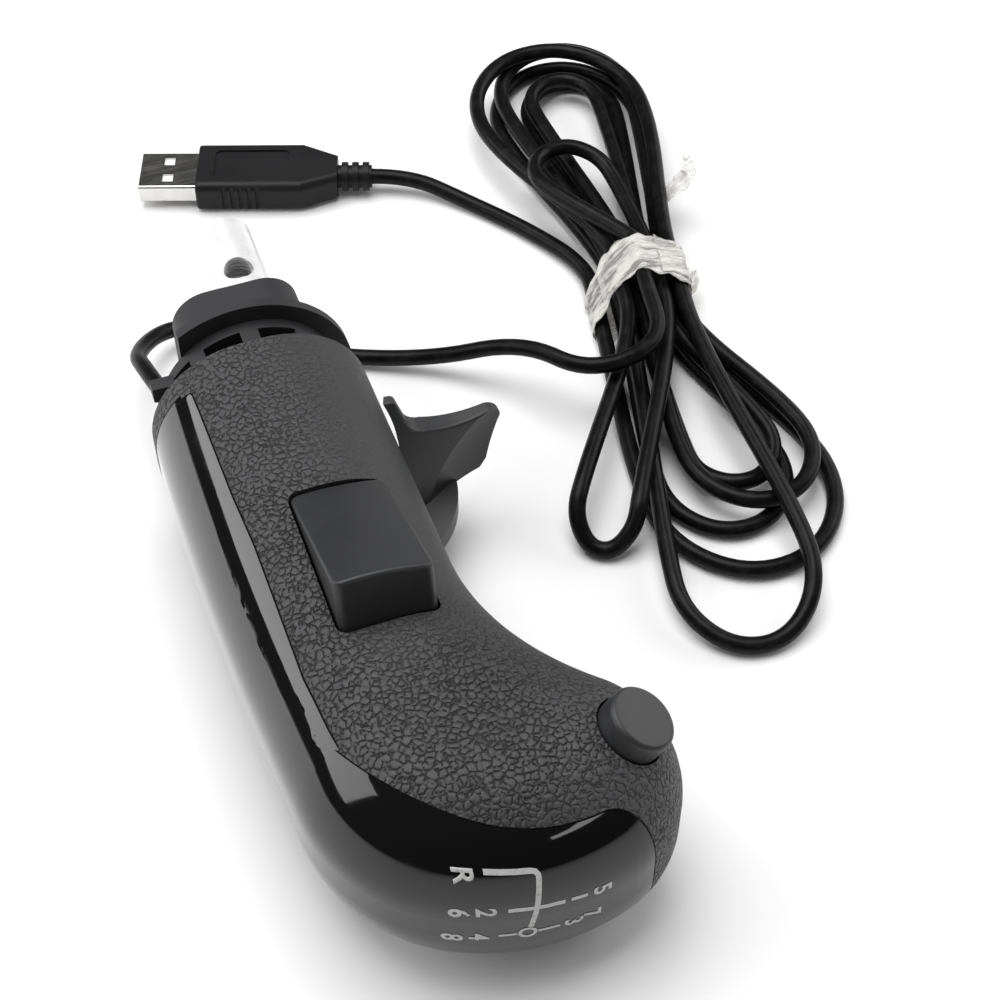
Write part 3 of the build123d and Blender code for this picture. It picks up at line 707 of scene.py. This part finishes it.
def makeGatePrint():
    shapes = [flatShape("gateLine", [outlineOf(path, width)]) for path, width in gate["lines"]]
    shapes.append(gateRing())
    shapes += [gateNumber(*number) for number in gate["numbers"]]
    for shape in shapes:
        pickOnly(shape)
        bpy.ops.object.convert(target="MESH")
    piece = joinAll(shapes)
    piece.name = "gatePrint"
    settle(piece)
    editAll(
        lambda: bpy.ops.mesh.remove_doubles(threshold=weld),
        lambda: bpy.ops.mesh.quads_convert_to_tris(),
        lambda: bpy.ops.mesh.subdivide(number_cuts=2),
        lambda: bpy.ops.mesh.normals_make_consistent(inside=False),
    )
    wrapOnto(piece, ["gloss_cover"], "y", True, gate["lift"])
    addModifier(piece, "SOLIDIFY", thickness=gate["thickness"] * mm, offset=0.0)
    paint(piece, ink)
    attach(piece, "knob")


makeGatePrint()
print("gate printed")

# A thin gloss strip, in mm, on the left of the cover: its seam with the leather stands nearer the
# middle than the CAD's, so the strip hides the CAD's gap and ends in a painted shadow line of its own
rim = {
    "seam": (
        (27.4, -25.4), (22.1, -25.2), (0.1, -24.8), (-11.9, -24.2), (-41.1, -24.0), (-46.2, -23.5),
        (-51.1, -23.1), (-53.7, -22.8), (-56.2, -22.4),
    ),
    "gapRows": (28.0, 20.0, 10.0, 0.0, -10.0, -20.0, -30.0, -40.0, -50.0, -51.6, -53.2, -54.7, -56.2),
    "searchFrom": -20.0,
    "searchStep": 0.02,
    "sky": 60.0,
    "highest": 55.0,
    "corner": 1.2,
    # width of the painted shadow line at the seam
    "line": 0.28,
    "thinnest": 0.3,
    "spread": 0.02,
    "topLine": 0.4,
    "edge": 0.12,
    "across": 5,
    "lip": 0.4,
    "lipShare": 0.4,
    "overCover": (0.4, 0.7, 1.1),
    "wider": 0.25,
    "widerFrom": (-45.0, 3.0),
    "taper": 2.5,
    "rows": 150,
    "lift": 0.05,
}


def meets(nodeName, x, y):
    place = Vector((x, y, rim["sky"])) * mm
    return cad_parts[nodeName].ray_cast(place, (0, 0, -1))[0]


def gapAt(y):
    # the middle of the CAD's gap, seen from above, or the leather's lip where the strip gets wider
    x = rim["searchFrom"]
    while meets("grip_shell_left", x, y):
        x -= rim["searchStep"]
    leatherLip = x
    if y < rim["widerFrom"][0]:
        return leatherLip
    while not meets("gloss_cover", x, y):
        x -= rim["searchStep"]
    return (leatherLip + x) / 2


def alongTable(table, y):
    for (high, first), (low, second) in zip(table, table[1:]):
        if y >= low or low == table[-1][0]:
            return first + (second - first) * (high - y) / (high - low)


def rimColumns(gapLine, y):
    # places across the strip, from the leather to the cover's own surface past the CAD's gap
    top, bottom = rim["seam"][0][0], rim["seam"][-1][0]
    seam = alongTable(rim["seam"], y)
    gap = alongTable(gapLine, y)
    down = top - y
    if down < rim["corner"]:
        seam -= rim["corner"] - math.sqrt(rim["corner"] ** 2 - (rim["corner"] - down) ** 2)
    start = seam - rim["edge"]
    end = gap + min(rim["lip"], (seam - gap) * rim["lipShare"])
    inner = [seam] + [start + (end - start) * k / rim["across"] for k in range(rim["across"] + 1)]
    left = held((y - bottom) / rim["taper"])
    wide = rim["wider"] * held((rim["widerFrom"][0] - y) / rim["widerFrom"][1])
    outer = [gap - (reach + wide) * left for reach in rim["overCover"]]
    return [seam + rim["line"] * min(1.0, rim["thinnest"] + left)] + inner + outer


def bridgeGap(row):
    # a vertex that met no surface lies in the CAD's gap, and goes straight from one lip to the other
    met = [k for k, vertex in enumerate(row) if vertex.co.z < rim["highest"] * mm]
    for k in [k for k in range(len(row)) if k not in met]:
        low = row[max([m for m in met if m < k], default=met[0])].co
        high = row[min([m for m in met if m > k], default=met[-1])].co
        span = high.x - low.x
        share = (row[k].co.x - low.x) / span if abs(span) > 1e-9 else 0.0
        row[k].co.z = low.z + (high.z - low.z) * share


def makeRim():
    top, bottom = rim["seam"][0][0], rim["seam"][-1][0]
    gapLine = [(y, gapAt(y)) for y in rim["gapRows"]]
    columns = len(rimColumns(gapLine, 0.0))
    bpy.ops.mesh.primitive_grid_add(x_subdivisions=columns - 1, y_subdivisions=rim["rows"], size=2)
    piece = bpy.context.object
    piece.name = "coverRim"
    for vertex in piece.data.vertices:
        column = round((1 - vertex.co.x) / 2 * (columns - 1))
        y = top + (bottom - top) * (1 - vertex.co.y) / 2
        vertex.co = Vector((rimColumns(gapLine, y)[column], y, rim["sky"])) * mm
    wrapOnto(piece, ["grip_shell_left", "gloss_cover"], "z", False, rim["lift"])
    vertices = piece.data.vertices
    for first in range(0, len(vertices), columns):
        bridgeGap(vertices[first:first + columns])
    paint(piece, gloss, shadow)
    # painted shadow: faces along the seam and along the strip's top edge take the dark seamShadow finish
    for polygon in piece.data.polygons:
        middle = polygon.center / mm
        beside = middle.x > alongTable(rim["seam"], middle.y) - rim["spread"]
        polygon.material_index = 1 if beside or middle.y > top - rim["topLine"] else 0
    pickOnly(piece)
    bpy.ops.object.shade_smooth()
    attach(piece, "knob")


makeRim()
print("rim laid")

# Clear film round the hank's waist, in mm. A layer is its lift from the strands, the share of the
# round that it starts at, the share that it covers and its seed. A crease, a crinkle and the ragged
# edge are a noise's scale round the hank, its scale along it and its height. A tail is half its
# width and its way.
film = {
    "around": 220,
    "along": 16,
    "width": 11.0,
    "lowest": 0.25,
    "strandSteps": 36,
    "middle": (-1.5, 7.0),
    "layers": ((0.30, 0.0, 1.0, 3.0), (0.62, 0.06, 0.58, 11.0)),
    "puff": 0.10,
    "crease": (2.4, 4.5, 0.55),
    "crinkle": (6.0, 11.0, 0.28),
    "ragged": (3.0, 0.0, 1.5),
    "edgeSeeds": (4, 9),
    "sway": 1.1,
    "droop": 3.4,
    "droopFrom": (-5.0, 12.0),
    "droopOver": (5.0, 9.0),
    "thickness": 0.06,
    "tails": (
        (
            2.3,
            (
                (91.6, 80.0, 3.5), (93.9, 79.8, 7.0), (96.9, 79.6, 10.0),
                (99.3, 80.2, 12.0), (100.6, 84.6, 13.2),
            ),
        ),
        (1.3, ((86.0, 54.5, 3.0), (88.4, 53.2, 3.6), (90.2, 54.6, 4.6), (91.2, 57.4, 5.6))),
    ),
    "tailGrid": (24, 6),
    "tailEnd": 0.35,
    "tailBelly": (0.12, 0.86),
    "tailFold": 0.9,
    "tailCrumple": (1.7, 1.5, 0.9),
    "tailThickness": 0.05,
}


def strandSpots():
    # where the strands cross the waist, as places across and heights
    tied, places, layers = lead["tieLayers"], lead["strandPlaces"], lead["strandLayers"]
    spots = [(-places[0], tied[3])]
    for k in range(len(lead["topLoops"])):
        spots += [(places[k], tied[layers[k]]), (-places[k + 1], tied[layers[k + 1]])]
    return spots


def hullRound(lift):
    # the outline that a film takes round all the strands
    reach = lead["diameter"] / 2 + lift
    angles = [math.tau * k / film["strandSteps"] for k in range(film["strandSteps"])]
    dots = sorted(
        (across + reach * math.cos(a), height + reach * math.sin(a))
        for across, height in strandSpots() for a in angles
    )
    outline = []
    for run in (dots, dots[::-1]):
        half = []
        for dot in run:
            while len(half) > 1 and (
                (half[-1][0] - half[-2][0]) * (dot[1] - half[-2][1])
                - (half[-1][1] - half[-2][1]) * (dot[0] - half[-2][0])
            ) <= 0:
                half.pop()
            half.append(dot)
        outline += half[:-1]
    return outline


def evenRound(outline, count):
    # the same outline with its points at even steps
    loop = [Vector(dot) for dot in outline] + [Vector(outline[0])]
    lengths = [(b - a).length for a, b in zip(loop, loop[1:])]
    whole = sum(lengths)
    even = []
    passed = 0.0
    k = 0
    for n in range(count):
        target = whole * n / count
        while passed + lengths[k] < target:
            passed += lengths[k]
            k += 1
        even.append(loop[k].lerp(loop[k + 1], (target - passed) / lengths[k]))
    return even


def filmNoise(kind, turn, across, seed):
    # a noise that closes on itself round the hank
    roundScale, alongScale, amount = film[kind]
    place = (math.cos(turn) * roundScale, math.sin(turn) * roundScale, across * alongScale + seed)
    return noise.noise(Vector(place)) * amount


def makeFilmLayer(number, lift, start, share, seed):
    around = film["around"]
    outline = evenRound(hullRound(lift), around)
    middle = Vector(film["middle"])
    closed = share >= 1.0
    steps = around if closed else int(around * share)
    bpy.ops.mesh.primitive_grid_add(x_subdivisions=steps, y_subdivisions=film["along"], size=2)
    piece = bpy.context.object
    piece.name = f"clearFilm{number}"
    for vertex in piece.data.vertices:
        column = round((vertex.co.x + 1) / 2 * steps)
        across = vertex.co.y
        spot = outline[(column + int(start * around)) % around]
        turn = math.tau * column / around
        edge = filmNoise("ragged", turn, 0.0, seed + film["edgeSeeds"][across > 0]) * abs(across)
        droop = film["droop"]
        for value, edgeFrom, over in zip(spot, film["droopFrom"], film["droopOver"]):
            droop *= held((edgeFrom - value) / over)
        along = across * film["width"] / 2 + edge - droop + film["sway"] * math.sin(turn + seed)
        wrinkle = filmNoise("crease", turn, across, seed) + filmNoise("crinkle", turn, across, seed)
        spot = spot + (spot - middle).normalized() * (wrinkle + film["puff"])
        vertex.co = hankPoint(spot.x, along, max(film["lowest"], spot.y)) * mm
    if closed:
        editAll(lambda: bpy.ops.mesh.remove_doubles(threshold=10 * weld))
    addModifier(piece, "SOLIDIFY", thickness=film["thickness"] * mm, offset=0.0)
    return piece


def makeFilmTail(wide, path):
    # a loose end of the film, folded along its middle
    steps, ribs = film["tailGrid"]
    end = film["tailEnd"]
    belly, span = film["tailBelly"]
    farScale, acrossScale, height = film["tailCrumple"]
    bpy.ops.mesh.primitive_grid_add(x_subdivisions=steps, y_subdivisions=ribs, size=2)
    piece = bpy.context.object
    points = [Vector(point) for point in path]
    for vertex in piece.data.vertices:
        share = (vertex.co.x + 1) / 2
        across = vertex.co.y
        far = share * (len(points) - 1)
        k = min(int(far), len(points) - 2)
        spot = points[k].lerp(points[k + 1], far - k)
        way = (points[k + 1] - points[k]).normalized()
        side = way.cross(Vector((0, 0, 1))).normalized()
        swell = wide * (end + (1 - end) * math.sin(math.pi * min(1.0, belly + share * span)))
        crumple = noise.noise(Vector((far * farScale, across * acrossScale, wide))) * height
        spot = spot + side * across * swell + Vector((0, 0, abs(across) * film["tailFold"] + crumple))
        vertex.co = Vector((spot.x, spot.y, max(film["lowest"], spot.z))) * mm
    addModifier(piece, "SUBSURF", levels=1)
    addModifier(piece, "SOLIDIFY", thickness=film["tailThickness"] * mm, offset=0.0)
    return piece


def makeFilm():
    parts = [makeFilmLayer(k, *layer) for k, layer in enumerate(film["layers"])]
    parts += [makeFilmTail(*tail) for tail in film["tails"]]
    piece = joinAll(parts)
    piece.name = "clearFilm"
    editAll(lambda: bpy.ops.mesh.normals_make_consistent(inside=False))
    bpy.ops.object.shade_smooth()
    paint(piece, tape)
    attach(piece, "knob")
    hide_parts("cable_tie")
    return piece


clearFilm = makeFilm()
print("film wound")

# The adapter rod in mm, with a tapped hole in its upper side
tapped = {
    "axis": (-6.2, 22.3),
    "radius": 6.2,
    "ends": (30.4, 85.2),
    "rings": (62.0, 64.5, 73.5, 76.0, 84.0),
    "chamfer": 0.7,
    "sides": 128,
    "bore": 3.0,
    "boreDepth": 26.0,
    "holeY": 69.0,
    "hole": 3.05,
    "holeDepth": 6.0,
    "drillSides": 96,
    "ridge": 0.42,
    "sunk": 0.06,
    "pitch": 1.0,
    "turns": 6,
    "turnSteps": 64,
    "lowest": 0.3,
    "trim": 0.04,
    "trimLength": 16.0,
    "smooth": 35,
    "slack": 0.01,
}


def roundBar(radius, length, place, sides, lying=True):
    turned = (math.pi / 2, 0, 0) if lying else (0, 0, 0)
    bpy.ops.mesh.primitive_cylinder_add(
        vertices=sides, radius=radius * mm, depth=length * mm, rotation=turned, location=Vector(place) * mm,
    )
    bar = bpy.context.object
    settle(bar)
    return bar


def combine(piece, tool, operation):
    addModifier(piece, "BOOLEAN", object=tool, operation=operation, solver="EXACT")
    bpy.data.objects.remove(tool)


def chamferEnd(rod, end):
    bpy.ops.object.mode_set(mode="EDIT")
    bpy.ops.mesh.select_all(action="DESELECT")
    bpy.ops.object.mode_set(mode="OBJECT")
    vertices = rod.data.vertices
    for edge in rod.data.edges:
        edge.select = all(vertices[v].co.y > (end - tapped["slack"]) * mm for v in edge.vertices)
    bpy.ops.object.mode_set(mode="EDIT")
    bpy.ops.mesh.bevel(offset=tapped["chamfer"] * mm, segments=1)
    bpy.ops.object.mode_set(mode="OBJECT")


def makeThread(across, axis):
    # one triangle swept round a turn, stacked, and trimmed to the rod's round outside
    bpy.ops.mesh.primitive_circle_add(vertices=3, radius=tapped["ridge"] * mm, fill_type="NOTHING")
    thread = bpy.context.object
    outward = (tapped["hole"] + tapped["sunk"]) * mm
    editAll(
        lambda: bpy.ops.transform.rotate(value=math.pi / 2, orient_axis="X", center_override=(0, 0, 0)),
        lambda: bpy.ops.transform.translate(value=(outward, 0, 0)),
    )
    addModifier(
        thread, "SCREW", screw_offset=tapped["pitch"] * mm, iterations=1, angle=math.tau,
        steps=tapped["turnSteps"], render_steps=tapped["turnSteps"], use_merge_vertices=False,
    )
    addModifier(
        thread, "ARRAY", count=tapped["turns"], use_relative_offset=False, use_constant_offset=True,
        constant_offset_displace=(0, 0, tapped["pitch"] * mm), use_merge_vertices=True,
        merge_threshold=5 * weld,
    )
    thread.location = Vector((across, tapped["holeY"], axis + tapped["lowest"])) * mm
    settle(thread)
    editAll(
        lambda: bpy.ops.mesh.fill_holes(sides=4),
        lambda: bpy.ops.mesh.normals_make_consistent(inside=False),
    )
    trimmed = tapped["radius"] - tapped["trim"]
    middle = (across, tapped["holeY"], axis)
    combine(thread, roundBar(trimmed, tapped["trimLength"], middle, tapped["sides"]), "INTERSECT")
    return thread


def makeRod():
    across, axis = tapped["axis"]
    start, end = tapped["ends"]
    depth = tapped["holeDepth"]
    bpy.ops.object.select_all(action="DESELECT")
    rod = roundBar(tapped["radius"], end - start, (across, (start + end) / 2, axis), tapped["sides"])
    for ring in tapped["rings"]:
        editAll(lambda: bpy.ops.mesh.bisect(plane_co=(0, ring * mm, 0), plane_no=(0, 1, 0)))
    chamferEnd(rod, end)
    bore = roundBar(tapped["bore"], tapped["boreDepth"] * 2, (across, end, axis), tapped["drillSides"])
    combine(rod, bore, "DIFFERENCE")
    middle = (across, tapped["holeY"], axis + depth)
    combine(rod, roundBar(tapped["hole"], depth * 2, middle, tapped["drillSides"], lying=False), "DIFFERENCE")
    thread = makeThread(across, axis)
    paint(rod, aluminium)
    paint(thread, steel)
    joinAll([rod, thread])
    rod.name = "rodBar"
    bpy.ops.object.shade_smooth_by_angle(angle=math.radians(tapped["smooth"]))
    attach(rod, "knob")
    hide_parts("adapter_rod")


makeRod()
print("rod tapped")

# Floor, backdrop and soft lights, in metres; a light is its place, its aim, its size and its power
studio = {
    "lights": {
        "keyLight": ((-0.05, 0.25, 1.10), (0.02, 0.02, 0.0), (0.9, 0.9), 12.0),
        "sideLight": ((-0.785, 0.366, 0.50), (0.0, 0.0, 0.03), (0.93, 0.55), 4.8),
        "stripLight": ((0.42, -0.86, 0.52), (0.0, 0.0, 0.03), (0.62, 0.06), 0.45),
        "rightLight": ((0.80, 0.24, 0.42), (0.02, 0.0, 0.03), (0.8, 0.5), 3.2),
    },
    "white": 1.0,
    "ambient": 0.22,
    "reflected": 0.02,
    "floor": (0.93, 0.93, 0.93),
    "floorBounce": (0.60, 0.60, 0.60),
    "floorSize": 6,
    "floorDrop": 0.0001,
    "blank": (0.55, 0.5),
}


def makeFloor():
    bpy.ops.mesh.primitive_plane_add(size=studio["floorSize"], location=(0, 0, -studio["floorDrop"]))
    floor = bpy.context.object
    floor.name = "paleFloor"
    pale = Finish("paleFloor", studio["floor"], 0.9, shine=0.1)
    bounced = pale.node("ShaderNodeLightPath", out="Is Diffuse Ray")
    pale.feed(color=pale.mix(bounced, studio["floor"], studio["floorBounce"]))
    # far from the object the camera sees plain white
    where = pale.node("ShaderNodeTexCoord", out="Object")
    away = pale.node("ShaderNodeVectorMath", {"operation": "LENGTH"}, {0: where}, "Value")
    seen = pale.node("ShaderNodeLightPath", out="Is Camera Ray")
    blank = pale.node("ShaderNodeEmission", {}, {"Color": (1, 1, 1, 1), "Strength": 1.0})
    lit = Signal(pale.tree, pale.shader.outputs[0])
    sockets = {0: away.above(*studio["blank"]) * seen, 1: lit, 2: blank}
    blended = pale.node("ShaderNodeMixShader", {}, sockets)
    output = next(n for n in pale.tree.nodes if n.type == "OUTPUT_MATERIAL")
    pale.tree.links.new(blended.socket, output.inputs["Surface"])
    paint(floor, pale)


def softLight(name, place, aim, size, power):
    bpy.ops.object.light_add(type="AREA", location=place)
    light = bpy.context.object
    light.name = name
    light.data.shape = "RECTANGLE"
    light.data.size, light.data.size_y = size
    light.data.energy = power
    light.rotation_euler = (Vector(aim) - Vector(place)).to_track_quat("-Z", "Y").to_euler()


def makeRoom():
    # white to the camera, dark in reflections, and a soft fill for all else
    world = bpy.data.worlds.new("paleRoom")
    scene.world = world
    world.use_nodes = True
    room = Finish.onTree(world.node_tree)
    seen = room.node("ShaderNodeLightPath", out="Is Camera Ray")
    mirrored = room.node("ShaderNodeLightPath", out="Is Glossy Ray")
    unseen = (1.0 - mirrored) * studio["ambient"] + mirrored * studio["reflected"]
    strength = (1.0 - seen) * unseen + seen * studio["white"]
    background = next(n for n in world.node_tree.nodes if n.type == "BACKGROUND")
    background.inputs["Color"].default_value = (1, 1, 1, 1)
    world.node_tree.links.new(strength.socket, background.inputs["Strength"])


makeFloor()
for lightName, values in studio["lights"].items():
    softLight(lightName, *values)
makeRoom()
print("studio lit")
